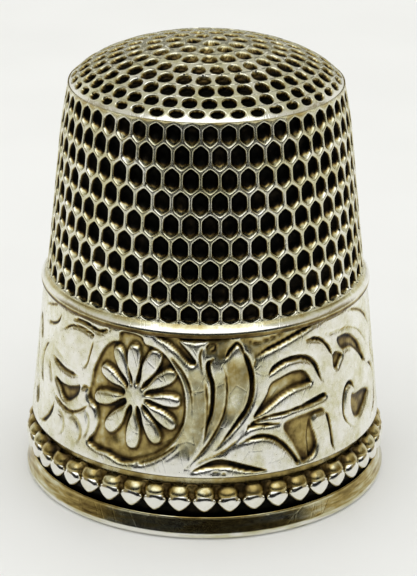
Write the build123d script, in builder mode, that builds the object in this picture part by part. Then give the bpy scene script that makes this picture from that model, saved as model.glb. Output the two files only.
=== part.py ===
from build123d import *
import math
import os

# A silver thimble, standing on its open end with its axis on +Z.
# The origin is the centre of the foot's underside. All sizes are in millimetres.

# ---- the tapered wall ----
TOTAL_HEIGHT = 22.0
WALL_BASE_RADIUS = 8.92      # the wall's outer cone, carried down to z = 0
WALL_TAPER = 0.1076          # radius lost per millimetre of height
BORE_CLEARANCE = 0.65        # from the outer cone in to the finger cavity
WALL_CURL_Z = 17.8           # above this the wall curls in towards the cap
CAP_SEAM_Z = 20.0            # where the cap sits on the sleeve

# ---- the domed cap ----
CROWN_ARC_RADIUS = 13.95     # the shallow arc over the crown
EDGE_ARC_RADIUS = 3.41       # the tighter arc round its edge
CAP_KNEE_RADIUS = 5.20       # where one arc turns into the other
CAP_THICKNESS = 0.55
CAP_OVERHANG = 0.05          # the polished edge stands proud of the sleeve's end

# ---- pits ----
PIT_ROWS = 9
PITS_PER_ROW = 50
PIT_FIRST_TURN = 1.6         # degrees on from -Y
PIT_TOP_ROW_Z = 19.46
PIT_ROW_PITCH = 1.062
WALL_PIT = (0.22, 0.39, 0.34)      # floor radius, mouth radius, depth
CAP_PIT = (0.16, 0.32, 0.26)
CAP_EDGE_PIT = (0.14, 0.24, 0.22)
PIT_CUTTER_RISE = 0.05
CAP_RING_RADII = (6.36, 5.81, 5.11, 4.34, 3.50, 2.54, 1.55, 0.62)
CAP_RING_PITS = (42, 40, 36, 30, 26, 18, 11, 4)

# ---- pieces soldered on to the lower half ----
SHOULDER_BOTTOM_Z = 9.98
SHOULDER_WIDTH = 0.60
SHOULDER_RISE = 0.20
BAND_BOTTOM_Z = 3.15
BAND_THICKNESS = 0.36
BAND_LIFT = 0.10             # the band stands proud of the cone
BAND_EDGE_ROUND = 0.08

BEADS = 46
BEAD_Z = 1.90
BEAD_RADIUS = 0.55
BEAD_CIRCLE_RADIUS = 8.50
BEAD_STRIP_HEIGHT = 1.45
BEAD_STRIP_THICKNESS = 0.14

FOOT_CORNER_RADIUS = 9.07     # where the face would meet the underside, were it not rounded
FOOT_HEIGHT = 1.10
FOOT_DRAW_IN = 0.24          # the rim's face leans in by this much at its top
FOOT_LAP = 0.30              # thickness of the foot under the sleeve's edge
FOOT_BOTTOM_ROUND = 0.28
FOOT_TOP_ROUND = 0.08
FOOT_INNER_ROUND = 0.10

SILVER = (0.78, 0.77, 0.72)


def wall_radius(z):
    """The outer cone's radius at a height."""
    return WALL_BASE_RADIUS - WALL_TAPER * z


def seat_radius(z):
    """The turned-down lower half of the sleeve, which the applied pieces sit on."""
    return wall_radius(z) + BAND_LIFT - BAND_THICKNESS


def bore_radius(z):
    """The finger cavity's radius at a height."""
    return wall_radius(z) - BORE_CLEARANCE


def normal_height(radius, arc_centre, arc_radius):
    """How far above level, in degrees, an arc's normal stands at a radius."""
    return math.degrees(math.acos((radius - arc_centre[0]) / arc_radius))


def cap_surface(radius):
    """The cap's height, and its normal's angle above level, at a radius."""
    on_crown = radius <= CAP_KNEE_RADIUS
    centre = crown_centre if on_crown else edge_centre
    arc_radius = CROWN_ARC_RADIUS if on_crown else EDGE_ARC_RADIUS
    lean = normal_height(radius, centre, arc_radius)
    return centre[1] + arc_radius * math.sin(math.radians(lean)), lean


def surface_plane(radius, z, lean, turn):
    """A plane that touches the thimble's surface, with its normal facing out.

    lean is the normal's height above level and turn its place round the axis, in degrees.
    """
    outward = Vector(math.cos(math.radians(lean)), 0, math.sin(math.radians(lean)))
    along = Vector(0, 1, 0)
    return Plane(
        Vector(radius, 0, z).rotate(Axis.Z, turn),
        x_dir=along.rotate(Axis.Z, turn),
        z_dir=outward.rotate(Axis.Z, turn),
    )


def ring_planes(radius, z, lean, count, first_turn):
    """One surface plane for each pit of a ring."""
    return [surface_plane(radius, z, lean, first_turn + pit * 360 / count) for pit in range(count)]


def cut_pits(planes, pit):
    """Sink a conical pit at each plane into the part being built.

    The cutter stands a little out of the surface, so that its end face doesn't touch it.
    """
    floor_radius, mouth_radius, depth = pit
    flare = (mouth_radius - floor_radius) * PIT_CUTTER_RISE / depth
    lifted = [plane.offset(PIT_CUTTER_RISE) for plane in planes]
    with Locations(*lifted):
        Cone(floor_radius, mouth_radius + flare, depth + PIT_CUTTER_RISE,
             align=(Align.CENTER, Align.CENTER, Align.MAX), mode=Mode.SUBTRACT)


def finish(piece, label):
    """Label a finished piece and write its STEP file."""
    piece.part.label = label
    piece.part.color = Color(*SILVER)
    export_step(piece.part, f"parts/{label}.step")
    print(f"{label}: {len(piece.part.solids())} solid, {piece.part.volume:.2f} mm3")


os.makedirs("parts", exist_ok=True)
front = -90 + PIT_FIRST_TURN

# The cap's two arcs share their normal at the knee.
crown_centre = (0, TOTAL_HEIGHT - CROWN_ARC_RADIUS)
knee_angle = normal_height(CAP_KNEE_RADIUS, crown_centre, CROWN_ARC_RADIUS)
centre_gap = CROWN_ARC_RADIUS - EDGE_ARC_RADIUS
edge_centre = (
    centre_gap * math.cos(math.radians(knee_angle)),
    crown_centre[1] + centre_gap * math.sin(math.radians(knee_angle)),
)
edge_angle = math.degrees(math.asin((CAP_SEAM_Z - edge_centre[1]) / EDGE_ARC_RADIUS))
inner_edge_radius = EDGE_ARC_RADIUS - CAP_THICKNESS
inner_edge_angle = math.degrees(math.asin((CAP_SEAM_Z - edge_centre[1]) / inner_edge_radius))
cap_edge_radius = edge_centre[0] + EDGE_ARC_RADIUS * math.cos(math.radians(edge_angle))

# ---- the tapered sleeve, with its rows of pits ----
with BuildPart() as knurled_sleeve:
    with BuildSketch(Plane.XZ):
        with BuildLine():
            outer_foot = (seat_radius(FOOT_LAP), FOOT_LAP)
            step_inner = (seat_radius(SHOULDER_BOTTOM_Z), SHOULDER_BOTTOM_Z)
            step_outer = (wall_radius(SHOULDER_BOTTOM_Z), SHOULDER_BOTTOM_Z)
            curl_start = (wall_radius(WALL_CURL_Z), WALL_CURL_Z)
            curl_end = (cap_edge_radius - CAP_OVERHANG, CAP_SEAM_Z)
            bore_top = (bore_radius(CAP_SEAM_Z), CAP_SEAM_Z)
            bore_foot = (bore_radius(FOOT_LAP), FOOT_LAP)
            Polyline(outer_foot, step_inner, step_outer, curl_start)
            TangentArc(curl_start, curl_end, tangent=(-WALL_TAPER, 1))
            Polyline(curl_end, bore_top, bore_foot, outer_foot)
        make_face()
    revolve(axis=Axis.Z)
    wall_lean = math.degrees(math.atan(WALL_TAPER))
    for row in range(PIT_ROWS):
        row_z = PIT_TOP_ROW_Z - row * PIT_ROW_PITCH
        row_turn = front + (row % 2) * 180 / PITS_PER_ROW
        cut_pits(ring_planes(wall_radius(row_z), row_z, wall_lean, PITS_PER_ROW, row_turn), WALL_PIT)
finish(knurled_sleeve, "knurled_sleeve")

# ---- the domed cap, with its rings of pits ----
with BuildPart() as crown_cap:
    with BuildSketch(Plane.XZ):
        with BuildLine():
            outer_edge = CenterArc(edge_centre, EDGE_ARC_RADIUS, edge_angle, knee_angle - edge_angle)
            outer_crown = CenterArc(crown_centre, CROWN_ARC_RADIUS, knee_angle, 90 - knee_angle)
            inner_edge = CenterArc(edge_centre, inner_edge_radius, inner_edge_angle,
                                   knee_angle - inner_edge_angle)
            inner_crown = CenterArc(crown_centre, CROWN_ARC_RADIUS - CAP_THICKNESS, knee_angle,
                                    90 - knee_angle)
            Line(outer_edge @ 0, inner_edge @ 0)
            Line(outer_crown @ 1, inner_crown @ 1)
        make_face()
    revolve(axis=Axis.Z)
    for ring, (ring_radius, count) in enumerate(zip(CAP_RING_RADII, CAP_RING_PITS)):
        ring_z, ring_lean = cap_surface(ring_radius)
        ring_turn = front + (ring % 2) * 180 / count
        ring_pit = CAP_EDGE_PIT if ring == 0 else CAP_PIT
        cut_pits(ring_planes(ring_radius, ring_z, ring_lean, count, ring_turn), ring_pit)
finish(crown_cap, "crown_cap")

# ---- the half-round wire over the band's top edge ----
with BuildPart() as shoulder_wire:
    with BuildSketch(Plane.XZ):
        with BuildLine():
            wire_top_z = SHOULDER_BOTTOM_Z + SHOULDER_WIDTH
            wire_middle_z = SHOULDER_BOTTOM_Z + SHOULDER_WIDTH / 2
            wire_bottom = (wall_radius(SHOULDER_BOTTOM_Z), SHOULDER_BOTTOM_Z)
            wire_crest = (wall_radius(wire_middle_z) + SHOULDER_RISE, wire_middle_z)
            wire_top = (wall_radius(wire_top_z), wire_top_z)
            ThreePointArc(wire_bottom, wire_crest, wire_top)
            Line(wire_top, wire_bottom)
        make_face()
    revolve(axis=Axis.Z)
finish(shoulder_wire, "shoulder_wire")

# ---- the chased band ----
with BuildPart() as scroll_band:
    with BuildSketch(Plane.XZ):
        with BuildLine():
            Polyline(
                (seat_radius(BAND_BOTTOM_Z), BAND_BOTTOM_Z),
                (wall_radius(BAND_BOTTOM_Z) + BAND_LIFT, BAND_BOTTOM_Z),
                (wall_radius(SHOULDER_BOTTOM_Z) + BAND_LIFT, SHOULDER_BOTTOM_Z),
                (seat_radius(SHOULDER_BOTTOM_Z), SHOULDER_BOTTOM_Z),
                close=True,
            )
        make_face()
    revolve(axis=Axis.Z)
    band_edges = scroll_band.edges().filter_by(GeomType.CIRCLE).sort_by(SortBy.RADIUS)
    long_edges = [edge for edge in band_edges if edge.radius > seat_radius(edge.center().Z) + BAND_LIFT]
    fillet(long_edges, BAND_EDGE_ROUND)
finish(scroll_band, "scroll_band")

# ---- the beaded wire: half beads on a thin strip ----
strip_top_z = FOOT_HEIGHT + BEAD_STRIP_HEIGHT
with BuildPart() as beaded_wire:
    with BuildSketch(Plane.XZ):
        with BuildLine():
            Polyline(
                (seat_radius(FOOT_HEIGHT), FOOT_HEIGHT),
                (seat_radius(FOOT_HEIGHT) + BEAD_STRIP_THICKNESS, FOOT_HEIGHT),
                (seat_radius(strip_top_z) + BEAD_STRIP_THICKNESS, strip_top_z),
                (seat_radius(strip_top_z), strip_top_z),
                close=True,
            )
        make_face()
    revolve(axis=Axis.Z)
    with Locations((0, 0, BEAD_Z)):
        with PolarLocations(BEAD_CIRCLE_RADIUS, BEADS, start_angle=-90):
            Sphere(BEAD_RADIUS)
    seat_bottom_z = BEAD_Z - 2 * BEAD_RADIUS
    seat_top_z = BEAD_Z + 2 * BEAD_RADIUS
    with Locations((0, 0, seat_bottom_z)):
        Cone(seat_radius(seat_bottom_z), seat_radius(seat_top_z), seat_top_z - seat_bottom_z,
             align=(Align.CENTER, Align.CENTER, Align.MIN), mode=Mode.SUBTRACT)
finish(beaded_wire, "beaded_wire")

# ---- the plain foot, lapped under the sleeve's edge ----
with BuildPart() as foot_ring:
    with BuildSketch(Plane.XZ):
        with BuildLine():
            Polyline(
                (bore_radius(0), 0),
                (FOOT_CORNER_RADIUS, 0),
                (FOOT_CORNER_RADIUS - FOOT_DRAW_IN, FOOT_HEIGHT),
                (seat_radius(FOOT_HEIGHT), FOOT_HEIGHT),
                (seat_radius(FOOT_LAP), FOOT_LAP),
                (bore_radius(FOOT_LAP), FOOT_LAP),
                close=True,
            )
        make_face()
    revolve(axis=Axis.Z)
    under_edges = foot_ring.edges().group_by(Axis.Z)[0].sort_by(SortBy.RADIUS)
    fillet(under_edges[-1], FOOT_BOTTOM_ROUND)
    fillet(foot_ring.edges().group_by(Axis.Z)[0].sort_by(SortBy.RADIUS)[0], FOOT_INNER_ROUND)
    fillet(foot_ring.edges().group_by(Axis.Z)[-1].sort_by(SortBy.RADIUS)[-1], FOOT_TOP_ROUND)
finish(foot_ring, "foot_ring")
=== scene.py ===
import math
import bpy
import numpy as np
from mathutils import Matrix, Vector


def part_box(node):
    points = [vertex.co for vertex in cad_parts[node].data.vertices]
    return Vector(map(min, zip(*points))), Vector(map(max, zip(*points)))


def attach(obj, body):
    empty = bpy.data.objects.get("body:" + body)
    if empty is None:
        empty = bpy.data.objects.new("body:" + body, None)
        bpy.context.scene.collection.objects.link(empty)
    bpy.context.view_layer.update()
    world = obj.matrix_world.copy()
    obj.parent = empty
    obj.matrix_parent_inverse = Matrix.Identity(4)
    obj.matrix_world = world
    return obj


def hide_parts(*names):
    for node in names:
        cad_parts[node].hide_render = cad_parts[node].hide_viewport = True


# The looks of a silver thimble. Shapes are worked out in millimetres, in the frame's
# own axes, and are turned into metres when a mesh is made. Angles round the thimble
# are in degrees from the front, -Y, growing towards +X.

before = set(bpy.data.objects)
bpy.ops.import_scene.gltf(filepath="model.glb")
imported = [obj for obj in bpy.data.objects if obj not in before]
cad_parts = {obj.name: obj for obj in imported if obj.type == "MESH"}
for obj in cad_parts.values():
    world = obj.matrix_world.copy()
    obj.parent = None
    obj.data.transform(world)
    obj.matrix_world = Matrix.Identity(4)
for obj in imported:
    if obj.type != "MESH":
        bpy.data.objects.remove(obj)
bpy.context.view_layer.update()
MM = 0.001


def node_box(name):
    """A CAD node's lowest and highest corners, in millimetres."""
    low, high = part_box(name)
    return np.array(low) / MM, np.array(high) / MM


# ---- places read from the frame ----
CAP_LOW, CAP_HIGH = node_box("crown_cap")
BAND_LOW, BAND_HIGH = node_box("scroll_band")
WIRE_LOW, WIRE_HIGH = node_box("shoulder_wire")
FOOT_HIGH = node_box("foot_ring")[1]
BEAD_HIGH = node_box("beaded_wire")[1]

TOP_Z = CAP_HIGH[2]
SEAM_Z = CAP_LOW[2]
BAND_Z = (BAND_LOW[2], BAND_HIGH[2])
WIRE_Z = (WIRE_LOW[2], WIRE_HIGH[2])
FOOT_TOP_Z = FOOT_HIGH[2]
FOOT_RADIUS = FOOT_HIGH[0]
BEAD_OUTER_RADIUS = BEAD_HIGH[0]
BEADS_BELOW_STRIP_TOP = 0.70
BEAD_MIDDLE_Z = BEAD_HIGH[2] - BEADS_BELOW_STRIP_TOP

# ---- the wall ----
WALL_TAPER = 0.1076
BAND_LIFT = 0.10             # how far the band stands proud of the wall
BAND_EDGE_ROUND = 0.08       # the CAD band is widest this far above its lower edge
WALL_BASE_RADIUS = BAND_HIGH[0] + WALL_TAPER * (BAND_Z[0] + BAND_EDGE_ROUND) - BAND_LIFT
WALL_SHEET = 0.65
SEAT_DEPTH = 0.26            # how far the wall is turned down behind the applied pieces
COVE_Z = 2.8                 # the hollow between the band and the beads
COVE_HALF_HEIGHT = 0.3
COVE_DEPTH = 0.10
CURL_START_Z = 17.0
CURL_DEPTH = 0.17

# ---- pits ----
PIT_COLUMNS = 50
PIT_ROWS = 9
PIT_PHASE = 1.6
PIT_TOP_ROW_Z = 19.46
PIT_ROW_PITCH = 1.070

# ---- beads and band ----
BEADS = 46
BAND_REPEATS = 2
BAND_MEAN_RADIUS = 8.25


def smooth_step(x, low=0.0, high=1.0):
    """0 below low, 1 above high, and a smooth rise between them."""
    t = np.clip((np.asarray(x, float) - low) / (high - low), 0, 1)
    return t * t * (3 - 2 * t)


def cone_radius(z):
    """The radius of the plain cone that the thimble is built on."""
    return WALL_BASE_RADIUS - WALL_TAPER * np.asarray(z, float)


def seat_radius(z):
    """The turned-down lower half of the sleeve, which the applied pieces sit on."""
    return cone_radius(z) - SEAT_DEPTH


def wall_radius(z):
    """The pitted wall's outer radius, which curls in under the cap."""
    return cone_radius(z) - CURL_DEPTH * smooth_step(z, CURL_START_Z, SEAM_Z + 0.6) ** 1.5


def ring_points(angle_deg, radius, z):
    """Points at an angle from the front, a radius and a height."""
    turn = np.radians(angle_deg)
    radius, z = np.broadcast_arrays(np.asarray(radius, float), np.asarray(z, float))
    return np.stack([radius * np.sin(turn), -radius * np.cos(turn), z + 0 * turn], -1)


class Shell:
    """Gathers a mesh's points, faces and tarnish, which also carries painted glints, before Blender makes
    the object.
    """

    def __init__(self):
        self.points = []
        self.tarnish_and_glint = []
        self.quads = []
        self.triangles = []
        self.count = 0

    def add(self, points, tarnish_and_glint):
        """Add an array of points and return their numbers in the same layout."""
        shape = points.shape[:-1]
        total = int(np.prod(shape))
        self.points.append(points.reshape(-1, 3))
        self.tarnish_and_glint.append(np.broadcast_to(np.asarray(tarnish_and_glint, float), shape).reshape(-1))
        numbers = np.arange(self.count, self.count + total).reshape(shape)
        self.count += total
        return numbers

    def join_rows(self, numbers):
        """Quads between neighbouring rows, which run right round."""
        after = np.roll(numbers, -1, axis=1)
        faces = np.stack([numbers[:-1], after[:-1], after[1:], numbers[1:]], -1)
        self.quads.append(faces.reshape(-1, 4))

    def zip_rings(self, one, one_turn, other, other_turn):
        """Triangles between two closed rings with different numbers of points."""
        a, b = 0, 0
        faces = []
        n, m = len(one), len(other)
        while a < n or b < m:
            next_a = one_turn[a + 1] if a + 1 < n else one_turn[0] + 360
            next_b = other_turn[b + 1] if b + 1 < m else other_turn[0] + 360
            if b >= m or (a < n and next_a <= next_b):
                faces.append((one[a % n], one[(a + 1) % n], other[b % m]))
                a += 1
            else:
                faces.append((one[a % n], other[(b + 1) % m], other[b % m]))
                b += 1
        self.triangles.append(np.array(faces))

    def fan(self, centre, ring):
        """Triangles from one point to a closed ring."""
        after = np.roll(ring, -1)
        self.triangles.append(np.stack([np.full_like(ring, centre), ring, after], -1))

    def build(self, name, material, node):
        """Make the Blender object, in metres, riding on the thimble."""
        points = np.concatenate(self.points)
        tarnish_and_glint = np.concatenate(self.tarnish_and_glint)
        quads = np.concatenate(self.quads)
        triangles = np.concatenate(self.triangles) if self.triangles else np.zeros((0, 3), int)
        points, tarnish_and_glint, quads, triangles = weld(points, tarnish_and_glint, quads, triangles)
        mesh = bpy.data.meshes.new(name)
        mesh.vertices.add(len(points))
        mesh.vertices.foreach_set("co", (points * MM).astype(np.float32).ravel())
        corners = np.concatenate([quads.ravel(), triangles.ravel()])
        mesh.loops.add(len(corners))
        mesh.loops.foreach_set("vertex_index", corners.astype(np.int32))
        starts = np.concatenate([
            np.arange(len(quads)) * 4,
            len(quads) * 4 + np.arange(len(triangles)) * 3,
        ])
        mesh.polygons.add(len(starts))
        mesh.polygons.foreach_set("loop_start", starts.astype(np.int32))
        mesh.update(calc_edges=True)
        mesh.validate()
        mesh.polygons.foreach_set("use_smooth", np.ones(len(mesh.polygons), bool))
        layer = mesh.attributes.new("tarnish_and_glint", "FLOAT", "POINT")
        layer.data.foreach_set("value", tarnish_and_glint.astype(np.float32))
        face_outward(mesh)
        piece = bpy.data.objects.new(name, mesh)
        bpy.context.scene.collection.objects.link(piece)
        mesh.materials.append(material)
        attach(piece, "root")
        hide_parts(node)
        return piece


def weld(points, tarnish_and_glint, quads, triangles):
    """Join points that lie in the same place, and drop faces that vanish."""
    keys = np.round(points * 2000).astype(np.int64)
    _, first, back = np.unique(keys, axis=0, return_index=True, return_inverse=True)
    back = back.reshape(-1)
    quads, triangles = back[quads], back[triangles]
    flat = (quads == np.roll(quads, 1, axis=1)).sum(axis=1)
    kept = quads[flat == 0]
    extra = [[v for i, v in enumerate(face) if v != face[i - 1]] for face in quads[flat == 1]]
    if extra:
        triangles = np.concatenate([triangles, np.array(extra)])
    sound = (triangles != np.roll(triangles, 1, axis=1)).all(axis=1)
    return points[first], tarnish_and_glint[first], kept, triangles[sound]


def face_outward(mesh):
    """Turn the faces outward where the closed mesh came out inside out."""
    count = len(mesh.polygons)
    centres = np.zeros(count * 3, np.float32)
    normals = np.zeros(count * 3, np.float32)
    areas = np.zeros(count, np.float32)
    mesh.polygons.foreach_get("center", centres)
    mesh.polygons.foreach_get("normal", normals)
    mesh.polygons.foreach_get("area", areas)
    volume = ((centres * normals).reshape(-1, 3).sum(axis=1) * areas).sum()
    if volume < 0:
        mesh.flip_normals()
    mesh.update()


CURVE_STEPS = 8              # points on a smooth curve for each point it goes through


def curve_through(points, closed=False):
    """A smooth curve through a few points, as a finer row of points."""
    points = np.array(points, float)
    if closed:
        padded = np.concatenate([points[-1:], points, points[:2]])
    else:
        padded = np.concatenate([2 * points[:1] - points[1:2], points, 2 * points[-1:] - points[-2:-1]])
    t = np.linspace(0, 1, CURVE_STEPS, endpoint=False)[:, None]
    out = []
    for i in range(len(padded) - 3):
        a, b, c, d = padded[i : i + 4]
        out.append(0.5 * (2 * b + (c - a) * t + (2 * a - 5 * b + 4 * c - d) * t**2
                          + (3 * b - a - 3 * c + d) * t**3))
    out = np.concatenate(out)
    return out if closed else np.concatenate([out, points[-1:]])


# ---- The pitted wall: rows of hexagonal cells, each a rounded cup with a thin rim ----
CELL_SIDE_SHARE = 0.67       # the upright sides' share of the row pitch
CELL_SEGMENTS = 4            # points along each of a cell's six edges
RIM_HALF = 0.048             # half the width of the flat rim between two pits
RIM_DIRT = 0.10
PIT_DEPTH = 0.34
PIT_DROP = 0.03              # how far a pit's floor sits below the middle of its cell
MOUTH_POWER = 13             # how crisp the mouth's corners are
# Rings from the rim's edge to the pit's floor: share of the mouth, share of the depth.
CUP_RINGS = ((1.05, 0.00), (1.00, 0.012), (0.95, 0.07), (0.885, 0.22), (0.79, 0.54), (0.60, 0.90))
TOP_ROW_SQUASH = 0.70        # the first row's upper halves are cut short by the cap
LOW_ROW_SQUASH = 0.56        # and the last row's lower halves by the shoulder


def cell_outline(half_width, half_side, half_height):
    """Points round one hexagon, starting at its lower right corner, going up."""
    corners = np.array([
        (half_width, -half_side), (half_width, half_side), (0, half_height),
        (-half_width, half_side), (-half_width, -half_side), (0, -half_height),
    ])
    t = np.arange(CELL_SEGMENTS)[:, None] / CELL_SEGMENTS
    runs = [corners[i] * (1 - t) + corners[(i + 1) % 6] * t for i in range(6)]
    return np.concatenate(runs)


def rounded_mouth(outline, half_width, half_side, half_height, rim):
    """The pit's mouth on the line to each outline point: the hexagon, inset and rounded."""
    slope = math.atan2(half_height - half_side, half_width)
    slant = half_height * math.cos(slope)
    edges = [(0, half_width), (180, half_width)]
    edges += [(90 - math.degrees(slope) * side, slant) for side in (1, -1)]
    edges += [(-90 - math.degrees(slope) * side, slant) for side in (1, -1)]
    angle = np.arctan2(outline[:, 1], outline[:, 0])
    total = np.zeros(len(outline))
    for facing, distance in edges:
        toward = np.cos(angle - math.radians(facing))
        total += np.clip(toward, 0, None) ** MOUTH_POWER / (distance - rim) ** MOUTH_POWER
    reach = total ** (-1 / MOUTH_POWER)
    return np.stack([reach * np.cos(angle), reach * np.sin(angle)], -1)


def squashed(y, above, below):
    """Heights within a cell, with its upper and lower halves scaled."""
    return np.where(y > 0, y * above, y * below)


def pit_variation(row, column, kind):
    """A small steady unevenness, different for each pit, from -1 to 1."""
    return math.sin(12.9898 * (row + 3) + 78.233 * (column + 7) * (kind + 1) + 1.7 * kind)


def add_pitted_rows(shell):
    """All the cells of the wall. Returns the zigzag rings above and below them."""
    width = 360 / PIT_COLUMNS
    side = CELL_SIDE_SHARE * PIT_ROW_PITCH
    half_side = side / 2
    half_height = PIT_ROW_PITCH - half_side
    upper, lower = [], []
    for row in range(PIT_ROWS):
        row_z = PIT_TOP_ROW_Z - row * PIT_ROW_PITCH
        above = TOP_ROW_SQUASH if row == 0 else 1.0
        below = LOW_ROW_SQUASH if row == PIT_ROWS - 1 else 1.0
        radius = float(wall_radius(row_z))
        half_width = math.radians(width / 2) * radius
        outline = cell_outline(half_width, half_side, half_height)
        outline_angle = outline[:, 0] / half_width * width / 2
        for column in range(PIT_COLUMNS):
            centre = PIT_PHASE + (column + 0.5 * (row % 2)) * width
            rim = RIM_HALF * (1 + 0.16 * pit_variation(row, column, 0))
            depth = PIT_DEPTH * (1 + 0.08 * pit_variation(row, column, 1))
            mouth = rounded_mouth(outline, half_width, half_side, half_height, rim)
            rings, tarnish_and_glint = [], []
            outer_z = row_z + squashed(outline[:, 1], above, below)
            rings.append(ring_points(centre + outline_angle, wall_radius(outer_z), outer_z))
            tarnish_and_glint.append(np.full(len(outline), RIM_DIRT))
            for share, sink in CUP_RINGS:
                spot = mouth * share
                spot_z = row_z + squashed(spot[:, 1], above, below) - PIT_DROP * sink
                spot_angle = centre + np.degrees(spot[:, 0] / radius)
                rings.append(ring_points(spot_angle, wall_radius(spot_z) - depth * sink, spot_z))
                # Painted highlight: the lower wall of each pit, which faces the light, is given less
                # tarnish, so its glint shows brighter.
                painted_glint = smooth_step(-spot[:, 1] / half_height, 0.20, 0.70)
                painted_glint = painted_glint * (1 + 0.25 * pit_variation(row, column, 2))
                pit_patina_and_glint = smooth_step(sink, 0.05 + 0.38 * painted_glint, 0.30 + 0.62 * painted_glint)
                tarnish_and_glint.append(0.11 + 0.89 * pit_patina_and_glint)
            numbers = shell.add(np.stack(rings), np.stack(tarnish_and_glint))
            shell.join_rows(numbers)
            floor_z = row_z - PIT_DROP
            floor = ring_points(np.array([centre]), wall_radius(floor_z) - depth, floor_z)
            shell.fan(shell.add(floor, 1.0)[0], numbers[-1])
            if row == 0:
                top = numbers[0][CELL_SEGMENTS : 3 * CELL_SEGMENTS]
                upper.append((centre + outline_angle[CELL_SEGMENTS : 3 * CELL_SEGMENTS], top, outer_z))
            if row == PIT_ROWS - 1:
                bottom = numbers[0][4 * CELL_SEGMENTS :]
                lower.append((centre + outline_angle[4 * CELL_SEGMENTS :], bottom, outer_z))
    return upper, lower


def zigzag(parts, start, backward):
    """The angles, numbers and heights along a zigzag ring, in order of angle."""
    angles, numbers, heights = [], [], []
    for angle, number, outer_z in parts:
        z = outer_z[start : start + len(number)]
        step = -1 if backward else 1
        angles.append(angle[::step])
        numbers.append(number[::step])
        heights.append(z[::step])
    return np.concatenate(angles), np.concatenate(numbers), np.concatenate(heights)


def add_collar(shell, angles, numbers, heights, z, count, dirt):
    """Rings of points on the wall from a zigzag edge to a level ring at a height."""
    rows = [numbers]
    for index in range(1, count + 1):
        z_here = heights + (z - heights) * (index / count) if index < count else np.full(len(angles), z)
        rows.append(shell.add(ring_points(angles, wall_radius(z_here), z_here), dirt))
    shell.join_rows(np.stack(rows))
    return rows[-1]


def make_sleeve(material):
    """The tapered sleeve: pitted outside, turned-down seat below, smooth bore inside."""
    shell = Shell()
    upper, lower = add_pitted_rows(shell)
    angles, numbers, heights = zigzag(upper, CELL_SEGMENTS, True)
    top_ring = add_collar(shell, angles, numbers, heights, SEAM_Z, 2, 0.25)
    top_angles = angles
    angles, numbers, heights = zigzag(lower, 4 * CELL_SEGMENTS, False)
    middle_z = (WIRE_Z[0] + WIRE_Z[1]) / 2
    low_ring = add_collar(shell, angles, numbers, heights, middle_z, 3, 0.17)

    # The seat under the band and behind the beads, then the lower edge and the bore.
    seat_profile = []
    for z in (middle_z - 0.1, 3.6, BAND_Z[0], 2.95, 2.75, 2.55, 2.2, 1.9, 1.4, 0.5):
        hollow = COVE_DEPTH * math.exp(-(((z - COVE_Z) / COVE_HALF_HEIGHT) ** 2))
        dirt = 0.34 if abs(z - COVE_Z) < COVE_HALF_HEIGHT else 0.66
        seat_profile.append((seat_radius(z) - hollow, z, dirt))
    bore = [(cone_radius(z) - WALL_SHEET, z, 0.35) for z in np.linspace(0.5, SEAM_Z, 14)]
    rows = [low_ring]
    for radius, z, dirt in seat_profile + bore:
        rows.append(shell.add(ring_points(angles, radius, z), dirt))
    shell.join_rows(np.stack(rows))
    shell.zip_rings(rows[-1], angles, top_ring, top_angles)
    return shell.build("pitted_sleeve", material, "knurled_sleeve")


# ---- The domed cap, with rings of oval pits ----
DOME_FOOT_Z = 19.57
DOME_FOOT_RADIUS = 6.72
DOME_POWER = 1.81
CAP_SHEET = 0.55
CAP_LAND_DIRT = 0.09         # the tarnish between the pits
CAP_LIP = 0.12               # how far the cap's edge laps down over the wall
# The pits' half sizes: across as a share of their spacing, and up the dome. Those of
# the ring at the edge are smaller, so that a bright rim is left below them.
CAP_PIT_WIDE, CAP_PIT_TALL, CAP_PIT_DEPTH = 0.43, 0.48, 0.27
EDGE_PIT_WIDE, EDGE_PIT_TALL, EDGE_PIT_DEPTH = 0.375, 0.215, 0.22
CAP_PIT_MOST_WIDE = 0.93
CAP_PIT_MOST_TALL = 0.86
CAP_PIT_POWER = 2.05         # 2 is an oval, and more is squarer
PIT_POINTS = 18              # points round the cap for each pit
# Each ring of pits: its radius, how many, and the first one's angle from the front.
CAP_RINGS = ((6.30, 42, 4.7), (5.81, 40, 1.4), (5.11, 36, 0.0), (4.34, 30, -1.8), (3.50, 26, -6.0),
             (2.54, 18, 3.0), (1.55, 11, 0.0), (0.62, 4, 20.0))


def dome_curve():
    """The dome's profile: radius, height and length along it from the apex."""
    angle = np.linspace(0, math.pi / 2, 2000)
    radius = DOME_FOOT_RADIUS * np.sin(angle) ** (2 / DOME_POWER)
    z = DOME_FOOT_Z + (TOP_Z - DOME_FOOT_Z) * np.cos(angle) ** (2 / DOME_POWER)
    length = np.concatenate([[0], np.cumsum(np.hypot(np.diff(radius), np.diff(z)))])
    return radius, z, length


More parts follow.
